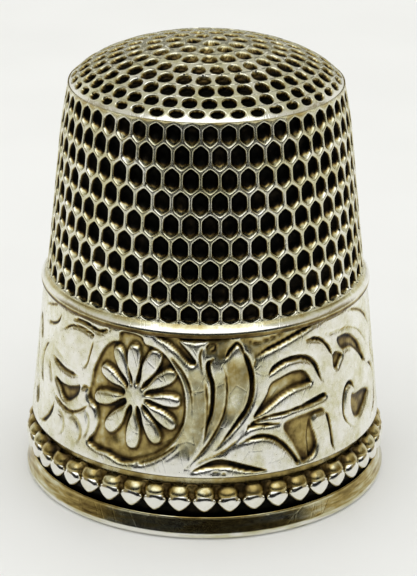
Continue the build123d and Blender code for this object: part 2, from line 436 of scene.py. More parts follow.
def make_cap(material):
    """The cap: its outer face zone by zone, each with one ring of pits, then its inside."""
    curve_radius, curve_z, curve_length = dome_curve()
    edge_length = float(np.interp(-SEAM_Z + CAP_LIP, -curve_z, curve_length))
    ring_lengths = [float(np.interp(r, curve_radius, curve_length)) for r, _, _ in CAP_RINGS]
    shell = Shell()
    border = None
    for ring, (ring_radius, count, first) in enumerate(CAP_RINGS):
        middle = ring_lengths[ring]
        outer = edge_length if ring == 0 else (ring_lengths[ring - 1] + middle) / 2
        inner = (ring_lengths[ring + 1] + middle) / 2 if ring + 1 < len(CAP_RINGS) else 0.06
        around = PIT_POINTS * count
        turn = first + (np.arange(around) - 0.5 * PIT_POINTS) * 360 / around
        lengths = np.linspace(outer, inner, 19 if ring == 0 else 16)
        pitch = 2 * math.pi * ring_radius / count
        half_wide = (EDGE_PIT_WIDE if ring == 0 else CAP_PIT_WIDE) * min(pitch, CAP_PIT_MOST_WIDE)
        half_tall = EDGE_PIT_TALL if ring == 0 else CAP_PIT_TALL * min(outer - inner, CAP_PIT_MOST_TALL)
        index = np.round((turn - first) / (360 / count))
        offset = (turn - first) - index * 360 / count
        column = index % count
        uneven = np.sin(12.9 * column + 4.1 * ring)
        shift = 0.02 * np.sin(7.3 * column + 2.0 * ring)
        x = offset[None, :] * math.pi / 180 * ring_radius
        y = (lengths[:, None] - middle - shift[None, :]) * np.ones_like(x)
        reach = (np.abs(x) / half_wide) ** CAP_PIT_POWER + (np.abs(y) / half_tall) ** CAP_PIT_POWER
        reach = reach ** (1 / CAP_PIT_POWER)
        reach = reach / (1 + 0.05 * uneven[None, :])
        sink = 1 - smooth_step(reach, 0.70, 1.02)
        depth = (EDGE_PIT_DEPTH if ring == 0 else CAP_PIT_DEPTH) * sink
        edge_roll = 0.008 * smooth_step(reach, 0.95, 1.15) * (1 - smooth_step(reach, 1.15, 1.6))
        radius = np.interp(lengths, curve_length, curve_radius)[:, None]
        z = np.interp(lengths, curve_length, curve_z)[:, None]
        ahead = lengths + 0.01
        lean_out = z - np.interp(ahead, curve_length, curve_z)[:, None]
        lean_up = np.interp(ahead, curve_length, curve_radius)[:, None] - radius
        size = np.hypot(lean_out, lean_up)
        inward = (depth - edge_roll) / size
        points = ring_points(turn * np.ones_like(x), radius - inward * lean_out, z - inward * lean_up)
        # Painted highlight: in the inner rings, the half of each pit nearest the apex is given less tarnish,
        # so it shows a brighter glint.
        apex_side_glint = 0.55 * smooth_step(ring, 1, 5) * smooth_step(-y / half_tall, -0.2, 0.9)
        # Painted highlight: the rim just below the edge ring of pits is given almost no tarnish, so its
        # reflection shows brighter.
        edge_painted_shine = 0.08 * smooth_step(lengths[:, None], middle + 0.1, middle + 0.3) * (ring == 0)
        dirt = smooth_step(sink, 0.10, 0.60) * (1 - apex_side_glint) + CAP_LAND_DIRT - edge_painted_shine
        numbers = shell.add(points, np.clip(dirt, 0, 1))
        shell.join_rows(numbers)
        if border is not None:
            shell.zip_rings(border[0], border[1], numbers[0], turn)
        else:
            edge_numbers, edge_turn = numbers[0], turn
        border = (numbers[-1], turn)
    shell.fan(shell.add(np.array([[0.0, 0.0, TOP_Z]]), 0.1)[0], border[0])
    add_cap_inside(shell, curve_radius, curve_z, edge_numbers, edge_turn)
    return shell.build("domed_cap", material, "crown_cap")


def add_cap_inside(shell, curve_radius, curve_z, edge_numbers, edge_turn):
    """The cap's inner face: in from its lower edge, and up to the middle."""
    inner_radius = curve_radius * (DOME_FOOT_RADIUS - CAP_SHEET) / DOME_FOOT_RADIUS
    dome_height = TOP_Z - DOME_FOOT_Z
    inner_z = DOME_FOOT_Z + (curve_z - DOME_FOOT_Z) * (dome_height - CAP_SHEET) / dome_height
    keep = inner_z >= SEAM_Z
    inner_radius, inner_z = inner_radius[keep][::-1], inner_z[keep][::-1]
    picks = np.linspace(0, len(inner_z) - 5, 24).astype(int)
    rows = [edge_numbers]
    for pick in picks:
        z = SEAM_Z - CAP_LIP if pick == 0 else inner_z[pick]
        rows.append(shell.add(ring_points(edge_turn, max(inner_radius[pick], 0.05), z), 0.4))
    shell.join_rows(np.stack(rows))
    shell.fan(shell.add(np.array([[0.0, 0.0, inner_z[-1]]]), 0.4)[0], rows[-1])


# ---- Turned pieces: the shoulder wire and the foot ----
TURNED_POINTS = 360          # points round a turned piece


def arc(radius, z, size, angles, dirt):
    """Points of a section round an arc, given its centre, its radius and its angles."""
    turns = [math.radians(angle) for angle in angles]
    return [(radius + size * math.cos(turn), z + size * math.sin(turn), dirt) for turn in turns]


def make_turned(name, profile, material, node):
    """A closed ring with the given section: points of radius, height and tarnish."""
    shell = Shell()
    turn = np.arange(TURNED_POINTS) * 360 / TURNED_POINTS
    rows = [shell.add(ring_points(turn, radius, z), dirt) for radius, z, dirt in profile]
    rows.append(rows[0])
    shell.join_rows(np.stack(rows))
    return shell.build(name, material, node)


# How far the wire's section stands out of the wall, and how far below its top.
WIRE_SECTION = ((0.00, 0.00), (0.02, 0.06), (0.06, 0.12), (0.12, 0.18), (0.185, 0.255),
                (0.225, 0.32), (0.24, 0.38), (0.24, 0.45), (0.225, 0.54), (0.18, 0.60))
WIRE_BACK = 0.2              # how far the wire's flat back lies within the wall


def make_shoulder_wire(material):
    """The rounded wire, which stands a little out of the wall."""
    profile = []
    for out, drop in reversed(WIRE_SECTION):
        z = WIRE_Z[1] - drop
        dull = 0.22 * smooth_step(0.30 - drop, 0.08, 0.20) + 0.6 * smooth_step(drop, 0.34, 0.46)
        profile.append((float(wall_radius(z)) + out, z, dull))
    back = float(wall_radius(WIRE_Z[1])) - WIRE_BACK
    profile.append((back, WIRE_Z[1], 0.9))
    profile.append((back, WIRE_Z[0], 0.9))
    return make_turned("shoulder_bead", profile, material, "shoulder_wire")


FOOT_LEAN = 0.31             # how far the face leans in, for each mm of height
FOOT_EDGE_ROUND = 0.26
FOOT_TOP_ROUND = 0.07
FOOT_INNER_ROUND = 0.10
FOOT_FACE_IN = 0.006         # the face starts this far in from the foot's widest point


def make_foot(material):
    """The plain foot: a face that leans in, between a rounded lower edge and a soft upper one."""
    bore = WALL_BASE_RADIUS - WALL_SHEET
    edge, top = FOOT_EDGE_ROUND, FOOT_TOP_ROUND
    profile = arc(FOOT_RADIUS - edge, edge, edge, np.linspace(-90, 12, 10), 0.04)
    base_z = edge + edge * math.sin(math.radians(12))
    for share in np.linspace(0.08, 1, 8):
        z = base_z + (FOOT_TOP_Z - top - base_z) * share
        radius = FOOT_RADIUS - FOOT_FACE_IN - FOOT_LEAN * (z - base_z)
        profile.append((radius, z, 0.27 - 0.06 * share ** 3))
    shoulder = profile[-1][0]
    profile += arc(shoulder - top, FOOT_TOP_Z - top, top, np.linspace(20, 90, 5), 0.30)
    profile.append((bore + 0.25, FOOT_TOP_Z - 0.02, 0.9))
    profile.append((bore, 0.55, 0.4))
    inner = FOOT_INNER_ROUND
    profile += arc(bore + inner, inner, inner, np.linspace(180, 270, 6), 0.2)
    return make_turned("plain_foot", profile, material, "foot_ring")


# ---- The beaded wire ----
BEAD_HALF_WIDTH = 0.585
BEAD_HALF_HEIGHT = 0.53
BEAD_RISE = 0.42
BEAD_POINTS = 32             # points round each bead
# Rings from a bead's edge to its crown, as shares of its half sizes.
BEAD_SHARES = (1.0, 0.985, 0.95, 0.90, 0.83, 0.74, 0.63, 0.52, 0.42, 0.33, 0.25, 0.18, 0.10)
BEAD_DENT_DEPTH = 0.036
BEAD_DENT_WIDE, BEAD_DENT_TALL = 0.21, 0.13
# The rounded lump over each bead, and the strip that carries beads and lumps.
LUMP_ABOVE_BEAD = 0.46
LUMP_HALF_WIDTH, LUMP_HALF_HEIGHT, LUMP_RISE = 0.50, 0.40, 0.36
STRIP_HALF_HEIGHT = 0.80
STRIP_POINTS = 16            # points along the strip for each bead


def add_bead(shell, bead, base):
    """One bead: a worn cushion, round above and drawn to a point below, with a small dent."""
    angle = bead * 360 / BEADS
    uneven = math.sin(5.3 * bead)
    tilt = 0.05 * math.sin(3.1 * bead + 1)
    direction = np.linspace(0, 2 * math.pi, BEAD_POINTS, endpoint=False)
    power = np.where(np.sin(direction) > 0, 1.75, 1.38)
    edge = (np.abs(np.cos(direction)) ** power + np.abs(np.sin(direction)) ** power) ** (-1 / power)
    rows, dirt = [], []
    for share in BEAD_SHARES:
        lift = (1 - share ** 3.2) ** (1 / 2.4)
        across = BEAD_HALF_WIDTH * share * edge * np.cos(direction)
        up = BEAD_HALF_HEIGHT * share * edge * np.sin(direction) * (1 + 0.04 * uneven)
        dent_reach = np.hypot((across - 0.03) / BEAD_DENT_WIDE, (up + 0.02 - 0.3 * across) / BEAD_DENT_TALL)
        dent = BEAD_DENT_DEPTH * np.exp(-dent_reach ** 2)
        crown = 0.05 * (up / BEAD_HALF_HEIGHT) ** 2 + 0.05 * (across / BEAD_HALF_WIDTH) ** 2
        radius = base + BEAD_RISE * lift - dent - crown * lift + tilt * up
        spot = angle + np.degrees(across / (base + 0.3))
        rows.append(ring_points(spot, radius, BEAD_MIDDLE_Z + up))
        upper = smooth_step(up / BEAD_HALF_HEIGHT, 0.2, 0.9)
        dirt.append((1 - smooth_step(lift, 0.05 + 0.2 * upper, 0.45 + 0.35 * upper)) * (0.85 - 0.45 * upper))
    numbers = shell.add(np.stack(rows), np.stack(dirt))
    shell.join_rows(numbers)
    tip = ring_points(np.array([angle]), base + BEAD_RISE - 0.028, BEAD_MIDDLE_Z)
    shell.fan(shell.add(tip, 0.0)[0], numbers[-1])
    back = ring_points(np.array([angle]), base - 0.1, BEAD_MIDDLE_Z)
    shell.fan(shell.add(back, 1.0)[0], numbers[0])


def make_beads(material):
    """The strip of beads, and the scalloped metal strip that carries them."""
    shell = Shell()
    seat = seat_radius(BEAD_MIDDLE_Z)
    for bead in range(BEADS):
        add_bead(shell, bead, BEAD_OUTER_RADIUS - 0.03 - BEAD_RISE)
    turn = np.arange(BEADS * STRIP_POINTS) * 360 / (BEADS * STRIP_POINTS)
    bead = np.round(turn * BEADS / 360)
    across = (turn - bead * 360 / BEADS) * math.pi / 180 * seat
    sway = 0.06 * np.sin(4.7 * bead)
    tall = 1 + 0.10 * np.sin(2.9 * bead + 2)
    top = STRIP_HALF_HEIGHT
    heights = [-top, -0.78, -0.30, 0.05] + list(np.linspace(0.16, top, 11)) + [top]
    rows = []
    for index, height in enumerate(heights):
        reach = (np.abs(across - sway) / LUMP_HALF_WIDTH) ** 2
        reach = reach + (abs(height - LUMP_ABOVE_BEAD) / (LUMP_HALF_HEIGHT * tall)) ** 2.2
        lump = np.sqrt(np.clip(1 - reach, 0, 1))
        hollow = -0.10 if index in (0, len(heights) - 1) else 0.12 - 0.16 * smooth_step(height, 0.3, 0.8)
        shade = 1.0 if height < 0.1 else 0.66 - 0.37 * smooth_step(lump, 0.25, 0.8)
        points = ring_points(turn, seat + hollow + LUMP_RISE * lump, BEAD_MIDDLE_Z + height)
        rows.append(shell.add(points, shade))
    rows.append(rows[0])
    shell.join_rows(np.stack(rows))
    return shell.build("bead_row", material, "beaded_wire")


# ---- The chased band ----
# The artwork is drawn in millimetres: along, from the front towards +X, and up, which
# is the height on the thimble.
CARVE_DEPTH = 0.26
BAND_HEM = 0.08              # how far the band's lower edge hangs over the cove
BAND_AROUND = 1100
BAND_ROWS = 86
EDGE_ROUND_IN, EDGE_ROUND_UP = 0.10, 0.14
# The relief is mostly the crisp carving, with wider averages that round it over.
CRISP_SHARE, CROWN_SHARE, SOFT_SHARE = 0.74, 0.16, 0.18


class Carving:
    """Depths cut into one repeat of the band."""

    def __init__(self, along, up):
        self.along, self.up = np.meshgrid(along, up)
        self.depth = np.zeros_like(self.along)
        self.hollow = np.zeros_like(self.along)
        self.film = np.zeros_like(self.along)

    def distance(self, path):
        """Distance from a row of points, and how far along it, from 0 to 1."""
        best = np.full(self.along.shape, 1e9)
        place = np.zeros(self.along.shape)
        steps = np.hypot(*np.diff(path, axis=0).T)
        reached = np.concatenate([[0], np.cumsum(steps)]) / steps.sum()
        margin = 0.7
        for i in range(len(path) - 1):
            (ax, ay), (bx, by) = path[i], path[i + 1]
            near = ((self.along > min(ax, bx) - margin) & (self.along < max(ax, bx) + margin)
                    & (self.up > min(ay, by) - margin) & (self.up < max(ay, by) + margin))
            if not near.any():
                continue
            px, py = self.along[near] - ax, self.up[near] - ay
            dx, dy = bx - ax, by - ay
            t = np.clip((px * dx + py * dy) / max(dx * dx + dy * dy, 1e-12), 0, 1)
            away = np.hypot(px - t * dx, py - t * dy)
            closer = away < best[near]
            spots = np.nonzero(near)
            spots = (spots[0][closer], spots[1][closer])
            best[spots] = away[closer]
            place[spots] = (reached[i] + (reached[i + 1] - reached[i]) * t)[closer]
        return best, place

    def inside(self, outline):
        """Which points lie within a closed outline."""
        result = np.zeros(self.along.shape, bool)
        j = len(outline) - 1
        for i in range(len(outline)):
            (ax, ay), (bx, by) = outline[i], outline[j]
            crosses = (ay > self.up) != (by > self.up)
            with np.errstate(divide="ignore", invalid="ignore"):
                at = (bx - ax) * (self.up - ay) / (by - ay) + ax
            result ^= crosses & (self.along < at)
            j = i
        return result

    def groove(self, points, width, depth=1.0, ends=(0.25, 0.25)):
        """A cut line with sloping sides, narrowing over a share of its length at each end."""
        path = curve_through(points)
        away, place = self.distance(path)
        taper = smooth_step(place, -0.02, ends[0]) * 0.85 + 0.15
        taper *= smooth_step(1 - place, -0.02, ends[1]) * 0.85 + 0.15
        half = width / 2 * taper
        profile = 1 - smooth_step(away / np.maximum(half, 0.01), 0.25, 1.25)
        self.depth = np.maximum(self.depth, profile * depth * (0.45 + 0.55 * taper))

    def cover(self, points, wall):
        """1 within a closed smooth outline and 0 outside it, with a sloping wall between."""
        outline = curve_through(points, closed=True)
        away, _ = self.distance(np.concatenate([outline, outline[:1]]))
        signed = np.where(self.inside(outline), away, -away)
        return smooth_step(signed, -wall / 2, wall / 2)

    def pocket(self, points, depth=1.0, wall=0.13):
        """A sunk ground with steep sides."""
        self.depth = np.maximum(self.depth, self.cover(points, wall) * depth)

    def island(self, points, wall=0.11, top=0.0):
        """A raised face left standing in a pocket."""
        cover = self.cover(points, wall)
        self.depth = self.depth * (1 - cover) + np.minimum(self.depth, top) * cover

    def scoop(self, points, width, depth, film=0.0):
        """A broad shallow hollow along a line, as in a leaf's face, with a dull film in it."""
        away, place = self.distance(curve_through(points))
        fade = smooth_step(place, 0, 0.2) * smooth_step(1 - place, 0, 0.2)
        cover = fade * np.exp(-((away / (width / 2)) ** 2) * 1.5)
        self.hollow += depth * cover
        within = 1 - smooth_step(away, width * 0.42, width * 0.56)
        self.film = np.maximum(self.film, film * within * fade ** 0.5)


# A petal's outline: how far out, and how far to the side, as shares of its size.
PETAL_SHAPE = (
    (0.16, 0.12), (0.34, 0.16), (0.48, 0.34), (0.64, 0.49), (0.84, 0.48), (0.96, 0.33), (1.00, 0.02),
    (0.97, -0.33), (0.84, -0.50), (0.64, -0.46), (0.46, -0.30), (0.32, -0.14), (0.16, -0.12),
)


def petal(centre, angle, length, width, lean):
    """A club-shaped petal's outline: narrow at the centre, broad and blunt at its tip."""
    outward = np.array([math.cos(math.radians(angle)), math.sin(math.radians(angle))])
    across = np.array([-outward[1], outward[0]])
    points = []
    for reach, side in PETAL_SHAPE:
        bend = lean * (reach - 0.5) ** 2
        points.append(np.array(centre) + outward * reach * length + across * (side * width + bend))
    return points


DAISY_CENTRE = (-3.42, 6.86)
# Each petal: its angle from straight along, its length and its width.
DAISY_PETALS = (
    (118, 2.46, 0.60), (94, 2.46, 0.70), (64, 2.58, 0.80), (34, 2.42, 0.68), (-2, 2.28, 0.58),
    (-33, 2.44, 0.62), (-61, 2.52, 0.66), (-91, 2.66, 0.70), (-125, 2.50, 0.74), (-164, 2.34, 0.68),
    (152, 2.18, 0.62),
)


def carve_daisy(art):
    """The flower: a sunk round ground with eleven petals and a boss left standing."""
    art.pocket([
        (-4.35, 9.78), (-3.75, 9.86), (-3.15, 9.72), (-3.0, 9.42), (-2.3, 9.28), (-1.8, 8.85),
        (-1.36, 8.25), (-1.05, 7.55), (-0.93, 6.8), (-0.95, 6.05), (-1.1, 5.45), (-1.5, 4.75), (-2.1, 4.15),
        (-2.9, 3.72), (-3.9, 3.45), (-4.7, 3.66), (-5.4, 3.72), (-5.92, 3.98), (-5.6, 4.45), (-5.42, 5.1),
        (-5.58, 5.75), (-5.98, 5.95), (-6.12, 6.35), (-5.92, 7.0), (-5.86, 7.55), (-5.62, 8.15),
        (-5.25, 8.8), (-4.78, 9.22), (-4.4, 9.36)
    ])
    for angle, length, width in DAISY_PETALS:
        art.island(petal(DAISY_CENTRE, angle, length, width, 0.10 * math.sin(angle)))
    across, up = DAISY_CENTRE
    corners = [math.radians(angle) for angle in range(0, 360, 45)]
    art.island([(across + 0.52 * math.cos(a), up + 0.55 * math.sin(a)) for a in corners])
    art.island([
        (-4.9, 4.35), (-4.5, 4.52), (-4.25, 4.3), (-4.35, 3.98), (-4.85, 3.95), (-5.1, 4.1)
    ], 0.3, 0.62)


def carve_ring_and_stem(art):
    """The C-shaped ring round the flower, and the stems that it runs into."""
    art.groove([
        (-1.75, 9.05), (-1.1, 8.3), (-0.76, 7.6), (-0.62, 6.9), (-0.6, 6.15)
    ], 0.15, 0.7, (0.1, 0.5))
    art.groove([
        (-1.02, 5.02), (-1.45, 4.55), (-1.95, 4.12), (-2.6, 3.72), (-3.4, 3.42)
    ], 0.15, 0.8, (0.3, 0.2))
    art.groove([(-0.98, 4.6), (-1.4, 4.2), (-1.9, 3.82)], 0.07, 0.35)
    art.groove([(-0.66, 4.92), (-0.7, 4.4), (-0.74, 3.85)], 0.05, 0.3)
    art.pocket([
        (-2.45, 9.9), (-1.6, 9.93), (-1.02, 9.48), (-0.6, 9.0), (-0.42, 8.74), (-0.66, 8.62), (-1.02, 8.92),
        (-1.4, 9.3), (-1.95, 9.66)
    ], 0.95)
    art.pocket([(-0.92, 9.95), (-0.55, 9.74), (-0.1, 9.8), (0.12, 9.96)], 0.8)
    art.groove([(-2.6, 9.93), (-1.4, 9.88), (0.0, 9.87), (1.3, 9.92)], 0.26, 1.0, (0.2, 0.2))
    art.pocket([
        (0.0, 9.42), (0.3, 9.8), (0.75, 9.93), (1.45, 9.95), (1.62, 9.72), (1.3, 9.36), (1.0, 9.02),
        (0.72, 8.86), (0.42, 9.04), (0.1, 9.08)
    ], 0.42, 0.3)
    art.groove([(0.02, 9.4), (0.22, 9.66), (0.5, 9.62), (0.46, 9.36), (0.2, 9.3)], 0.14, 0.9, (0.1, 0.2))
    art.groove([(0.98, 8.98), (1.24, 9.3), (1.55, 9.62), (1.74, 9.5), (1.92, 9.16)], 0.16, 0.95, (0.1, 0.2))
    art.groove([(-0.1, 9.52), (-0.25, 9.1), (-0.18, 8.55), (-0.02, 8.1)], 0.16, 0.6, (0.1, 0.5))
    art.groove([(-0.05, 8.15), (0.06, 7.5), (0.12, 6.8), (0.12, 6.0), (0.05, 5.3), (-0.1, 4.7)], 0.2, 0.55)
    art.scoop([
        (-0.3, 8.8), (-0.34, 7.8), (-0.32, 6.8), (-0.45, 5.8), (-0.8, 4.8), (-1.4, 4.0)
    ], 0.95, 0.08, 0.22)


def carve_leaves(art):
    """The bundle of leaves that rises from the foot of the ring."""
    art.groove([
        (0.5, 8.98), (0.16, 8.72), (0.2, 8.2), (0.36, 7.7), (0.36, 6.95), (0.28, 6.25), (0.1, 5.55),
        (-0.02, 5.0)
    ], 0.24, 1.0, (0.12, 0.4))
    art.groove([
        (0.6, 8.92), (0.92, 8.45), (1.04, 7.8), (1.04, 7.05), (0.94, 6.35), (0.72, 5.8), (0.4, 5.2),
        (0.05, 4.65), (-0.35, 4.15), (-0.95, 3.5)
    ], 0.13, 0.65)
    art.groove([(1.04, 9.22), (1.34, 9.5), (1.62, 9.76)], 0.13, 0.8)
    art.groove([
        (1.72, 9.42), (1.98, 8.98), (2.18, 8.42), (2.28, 7.85), (2.26, 7.2), (2.12, 6.65), (1.86, 6.18),
        (1.5, 5.72), (1.12, 5.28), (0.78, 4.86), (0.45, 4.5)
    ], 0.27, 1.0, (0.15, 0.35))
    art.groove([(1.8, 5.25), (1.4, 4.85), (0.9, 4.45), (0.35, 4.15), (-0.2, 3.9), (-0.75, 3.5)], 0.12, 0.6)
    art.groove([(1.1, 4.42), (0.6, 4.2), (0.05, 4.02)], 0.08, 0.4)
    art.scoop([(0.72, 8.5), (0.7, 7.6), (0.66, 6.8), (0.5, 5.9), (0.1, 5.0)], 0.6, 0.06, 0.2)
    art.scoop([(1.6, 9.2), (1.62, 8.2), (1.6, 7.2), (1.4, 6.4), (0.95, 5.6)], 1.2, 0.09, 0.25)
    art.groove([(2.46, 8.86), (2.38, 8.5), (2.2, 8.25)], 0.1, 0.55)


def carve_great_scroll(art):
    """The broad scroll that rises to the right of the leaves and hooks down again."""
    art.pocket([
        (1.66, 9.92), (1.86, 9.5), (2.25, 9.18), (2.46, 8.84), (2.98, 9.04), (3.6, 9.28), (4.3, 9.52),
        (5.1, 9.76), (6.1, 9.86), (6.2, 9.97), (4.5, 9.98), (2.9, 9.98)
    ], 0.45, 0.25)
    art.groove([(1.9, 9.86), (2.3, 9.62), (2.9, 9.62), (3.5, 9.76), (4.2, 9.86)], 0.12, 0.8)
    art.groove([(2.42, 8.9), (3.0, 9.16), (3.8, 9.4), (4.6, 9.64), (5.4, 9.82), (6.1, 9.92)], 0.2, 1.0)
    art.groove([
        (3.08, 7.98), (3.5, 8.3), (4.1, 8.5), (4.8, 8.5), (5.35, 8.32), (5.72, 7.98), (5.92, 7.55),
        (6.02, 7.22), (6.18, 7.04)
    ], 0.27, 1.0, (0.1, 0.2))
    art.pocket([
        (2.3, 5.92), (2.62, 6.38), (3.0, 6.92), (3.2, 7.46), (3.7, 7.68), (4.4, 7.86), (5.0, 7.78),
        (5.32, 7.48), (5.46, 7.12), (5.1, 7.06), (4.5, 7.02), (3.85, 6.82), (3.2, 6.44), (2.7, 6.08)
    ], 1.0)
    art.groove([
        (1.98, 5.56), (2.5, 5.78), (3.1, 5.92), (3.9, 5.96), (4.6, 6.04), (5.4, 6.1), (6.28, 6.18)
    ], 0.17, 0.85, (0.1, 0.05))
    art.pocket([(4.8, 6.1), (5.5, 6.26), (6.25, 6.34), (6.3, 6.14), (5.6, 6.02), (4.9, 5.98)], 0.95)
    art.pocket([
        (3.92, 5.5), (4.7, 5.66), (5.46, 5.7), (6.0, 5.7), (6.22, 5.46), (5.9, 5.46), (5.52, 5.42),
        (5.34, 5.05), (5.48, 4.55), (5.62, 4.1), (5.5, 3.6), (5.1, 3.34), (4.72, 3.3), (4.55, 3.62),
        (4.36, 4.02), (4.18, 4.42), (3.96, 4.8), (3.78, 5.16)
    ], 0.6, 0.22)
    art.pocket([
        (5.28, 5.34), (5.4, 4.9), (5.56, 4.4), (5.62, 3.95), (5.4, 3.52), (5.1, 3.42), (5.1, 3.9),
        (5.06, 4.4), (5.14, 4.9)
    ], 1.0)
    art.groove([(1.85, 5.22), (2.1, 5.5), (2.6, 5.58), (3.15, 5.52), (3.62, 5.5)], 0.16, 0.9)
    art.groove([
        (1.3, 4.62), (1.9, 4.88), (2.6, 5.0), (3.2, 4.84), (3.66, 4.5), (4.02, 4.08), (4.34, 3.62),
        (4.52, 3.26)
    ], 0.27, 0.85, (0.35, 0.05))
    art.pocket([
        (-0.62, 3.4), (-0.05, 3.76), (0.5, 3.98), (1.1, 3.92), (1.8, 3.68), (2.4, 3.46), (2.95, 3.26),
        (2.3, 3.3), (1.7, 3.42), (1.1, 3.6), (0.55, 3.62), (0.0, 3.56)
    ], 0.9, 0.1)
    art.groove([(0.02, 3.32), (0.55, 3.38), (1.1, 3.26)], 0.08, 0.6)
    art.scoop([(3.1, 7.4), (2.75, 6.6), (2.0, 5.7), (1.2, 4.9)], 0.5, 0.05)


def carve_right_side(art):
    """The arcs, the small upright leaf and the volute to the right."""
    art.groove([(5.2, 9.24), (5.7, 9.22), (6.2, 9.04), (6.58, 8.7), (6.84, 8.3), (7.02, 7.92)], 0.19, 1.0)
    art.pocket([(7.0, 7.96), (7.22, 8.12), (7.8, 7.86), (7.54, 7.54), (7.28, 7.28), (7.02, 7.4)], 0.75)
    art.pocket([
        (7.38, 8.72), (7.85, 8.74), (8.4, 8.6), (9.0, 8.28), (9.5, 7.78), (9.92, 7.15), (10.12, 6.78),
        (9.86, 6.76), (9.42, 7.28), (8.92, 7.72), (8.4, 7.96), (7.9, 8.0), (7.62, 8.26)
    ], 0.8, 0.2)
    art.groove([(7.4, 8.72), (7.9, 8.72), (8.5, 8.54), (9.05, 8.2), (9.55, 7.68), (9.98, 6.95)], 0.16, 1.0)
    art.groove([
        (6.1, 9.38), (6.9, 9.16), (7.6, 9.12), (8.3, 9.02), (9.0, 8.76), (9.6, 8.38), (10.15, 7.85),
        (10.6, 7.25)
    ], 0.11, 0.5)
    art.groove([(8.2, 9.88), (9.0, 9.7), (9.9, 9.34), (10.7, 8.8), (11.3, 8.1)], 0.17, 0.6)
    art.groove([(6.08, 5.52), (6.34, 5.22), (6.48, 4.76), (6.56, 4.2), (6.6, 3.6), (6.74, 3.28)], 0.25, 0.7)
    art.groove([(7.1, 5.8), (7.14, 5.35), (7.16, 4.92)], 0.07, 0.3)
    art.groove([
        (8.62, 5.8), (8.4, 6.12), (8.1, 6.2), (7.8, 6.02), (7.62, 5.58), (7.56, 5.02), (7.66, 4.58),
        (7.92, 4.2), (8.36, 3.86)
    ], 0.26, 0.85, (0.15, 0.5))
    art.pocket([
        (8.36, 5.58), (8.8, 5.46), (9.35, 5.4), (9.9, 5.28), (10.3, 5.05), (9.9, 4.72), (9.4, 4.44),
        (8.95, 4.22), (8.55, 4.3), (8.3, 4.72), (8.22, 5.15)
    ], 0.7, 0.2)
    art.groove([
        (10.2, 6.42), (10.8, 6.25), (11.35, 5.85), (11.55, 5.2), (11.4, 4.5), (10.95, 3.9), (10.2, 3.55)
    ], 0.22, 0.75)
    art.groove([
        (12.0, 9.6), (12.3, 8.8), (12.35, 7.9), (12.2, 6.9), (12.25, 5.9), (12.45, 4.9), (12.4, 3.9)
    ], 0.24, 0.8)
    art.pocket([(11.3, 7.3), (11.75, 6.8), (11.95, 6.1), (11.85, 5.8), (11.65, 6.3), (11.25, 6.8)], 0.8)


def carve_left_side(art):
    """The plate, the half-moon and the lobes to the left of the flower."""
    art.groove([
        (-8.45, 8.78), (-8.0, 9.04), (-7.5, 9.3), (-6.9, 9.39), (-6.3, 9.35), (-5.84, 9.2)
    ], 0.11, 0.95, (0.3, 0.05))
    art.groove([(-5.88, 9.16), (-6.0, 8.7), (-6.14, 8.2), (-6.28, 7.72), (-6.62, 7.44)], 0.15, 0.55)
    art.groove([(-9.15, 7.25), (-8.6, 7.08), (-8.0, 6.96), (-7.4, 6.94), (-6.72, 6.96)], 0.26, 0.7)
    art.pocket([
        (-8.72, 6.28), (-8.1, 6.18), (-7.5, 6.22), (-6.95, 6.42), (-6.64, 6.52), (-6.72, 6.12),
        (-7.0, 5.78), (-7.5, 5.42), (-7.92, 5.48), (-8.32, 5.86)
    ], 0.85, 0.16)
    art.groove([
        (-8.9, 5.55), (-8.3, 5.25), (-7.8, 5.08), (-7.2, 5.04), (-6.7, 5.22), (-6.3, 5.5), (-5.98, 5.8),
        (-5.9, 6.1)
    ], 0.17, 0.7)
    art.groove([(-6.55, 6.5), (-6.2, 6.6), (-5.95, 6.45)], 0.24, 0.6)
    art.groove([(-10.3, 8.6), (-9.6, 8.7), (-9.05, 8.94), (-8.72, 9.28), (-8.52, 9.62)], 0.18, 0.75)
    art.groove([
        (-7.6, 9.6), (-7.0, 9.72), (-6.4, 9.7), (-5.9, 9.6), (-5.5, 9.58), (-5.15, 9.72), (-4.8, 9.84)
    ], 0.17, 0.9)
    art.groove([(-10.6, 9.35), (-10.0, 9.52), (-9.4, 9.72), (-8.9, 9.88)], 0.15, 0.6)
    art.groove([(-8.6, 5.05), (-8.8, 4.6), (-9.1, 4.15), (-9.6, 3.66), (-10.1, 3.46)], 0.3, 0.75)
    art.groove([(-8.3, 4.9), (-7.8, 4.55), (-7.7, 4.0), (-7.95, 3.5)], 0.34, 0.34)
    art.groove([(-7.4, 4.7), (-6.9, 4.88), (-6.5, 4.55), (-6.42, 4.0), (-6.7, 3.55)], 0.34, 0.34)
    art.groove([(-6.22, 5.6), (-5.95, 5.05), (-5.98, 4.45), (-6.25, 4.05)], 0.28, 0.38)
    art.groove([(-9.6, 6.95), (-9.3, 6.3), (-8.95, 5.75)], 0.34, 0.34)
    art.groove([(-6.6, 7.3), (-7.4, 7.26), (-8.3, 7.45), (-9.1, 7.8)], 0.3, 0.26)
    art.groove([(-9.6, 7.7), (-10.2, 7.3), (-10.5, 6.6), (-10.35, 5.8), (-9.9, 5.3)], 0.22, 0.7)
    art.pocket([(-11.9, 8.6), (-11.3, 8.3), (-10.9, 7.7), (-11.0, 7.4), (-11.45, 7.85), (-11.95, 8.2)], 0.8)
    art.groove([(-12.1, 7.4), (-11.6, 6.6), (-11.5, 5.6), (-11.8, 4.7), (-12.4, 3.9)], 0.24, 0.8)
    art.pocket([(-11.1, 5.2), (-10.7, 4.8), (-10.6, 4.2), (-10.9, 4.0), (-11.2, 4.4), (-11.3, 4.9)], 0.8)


